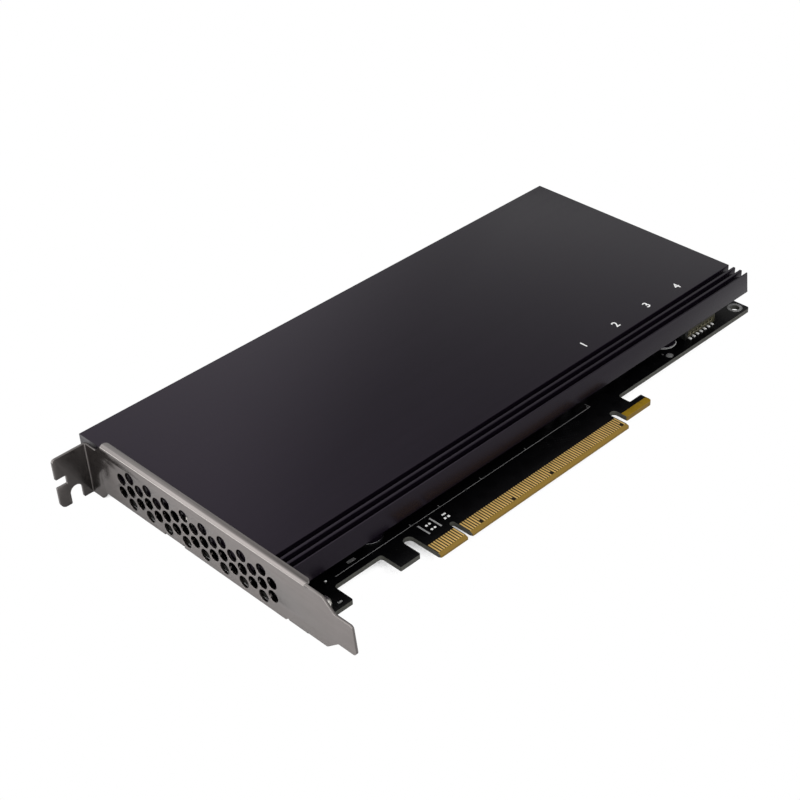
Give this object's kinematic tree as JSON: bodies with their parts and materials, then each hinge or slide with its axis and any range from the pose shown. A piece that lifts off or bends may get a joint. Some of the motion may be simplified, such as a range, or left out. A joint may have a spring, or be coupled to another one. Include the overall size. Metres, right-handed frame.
{
  "type": "four-drive expansion adapter card",
  "caption": "Long expansion card for solid-state drives under a black ribbed heatsink cover, with a vented mounting bracket and a gold edge connector.",
  "frame": {"origin": "centre of the edge connector's key notch at the tip of the tongue, on the component face of the board", "axes": "+X along the card away from the bracket, +Y from the tongue tip to the card's top edge, +Z out of the component face through the heatsink cover"},
  "size_m": [0.2228, 0.1246, 0.0218],
  "materials": {
    "board_mask": "satin black solder mask over glass laminate",
    "contact_gold": "thin gold plating over nickel, satin",
    "solder_tin": "bright tinned copper",
    "bracket_steel": "satin nickel plated sheet steel",
    "screw_steel": "nickel plated steel, machined",
    "spacer_fibre": "pressed fibre washer",
    "cover_black": "black anodised extrusion, fine grain along its length",
    "socket_plastic": "moulded black high-temperature plastic",
    "thermal_pad": "soft filled silicone pad",
    "standoff_brass": "turned brass, nickel plated",
    "chip_laminate": "green package laminate",
    "chip_lid": "matte nickel plated lid",
    "header_cream": "moulded cream nylon",
    "inductor_ferrite": "pressed grey-black ferrite",
    "can_aluminium": "bare drawn can",
    "chip_epoxy": "black moulding compound",
    "capacitor_ceramic": "tan sintered ceramic with tinned ends",
    "led_lens": "clear lens over a white base"
  },
  "bodies": {
    "root": {"circuit_board": "board_mask", "component_side_contacts": "contact_gold", "solder_side_contacts": "contact_gold", "latch_plating": "contact_gold", "board_lands": "solder_tin", "bracket": "bracket_steel", "bracket_screws": "screw_steel", "bracket_spacers": "spacer_fibre", "heatsink_cover": "cover_black", "cover_screws": "screw_steel", "drive_socket_1": "socket_plastic", "drive_socket_tails_1": "solder_tin", "drive_pad_1": "thermal_pad", "drive_socket_2": "socket_plastic", "drive_socket_tails_2": "solder_tin", "drive_pad_2": "thermal_pad", "drive_socket_3": "socket_plastic", "drive_socket_tails_3": "solder_tin", "drive_pad_3": "thermal_pad", "drive_socket_4": "socket_plastic", "drive_socket_tails_4": "solder_tin", "drive_pad_4": "thermal_pad", "drive_standoffs": "standoff_brass", "drive_screws": "screw_steel", "switch_substrate": "chip_laminate", "switch_lid": "chip_lid", "switch_pad": "thermal_pad", "side_header": "header_cream", "side_header_tails": "solder_tin", "power_inductors": "inductor_ferrite", "capacitor_bases": "chip_epoxy", "capacitor_cans": "can_aluminium", "power_regulators": "chip_epoxy", "load_switches": "chip_epoxy", "clock_chip": "chip_epoxy", "clock_crystal": "chip_lid", "memory_chip": "chip_epoxy", "status_leds": "led_lens", "led_resistors": "chip_epoxy", "chip_capacitors": "capacitor_ceramic", "coupling_capacitors": "capacitor_ceramic"}
  },
  "joints": []
}
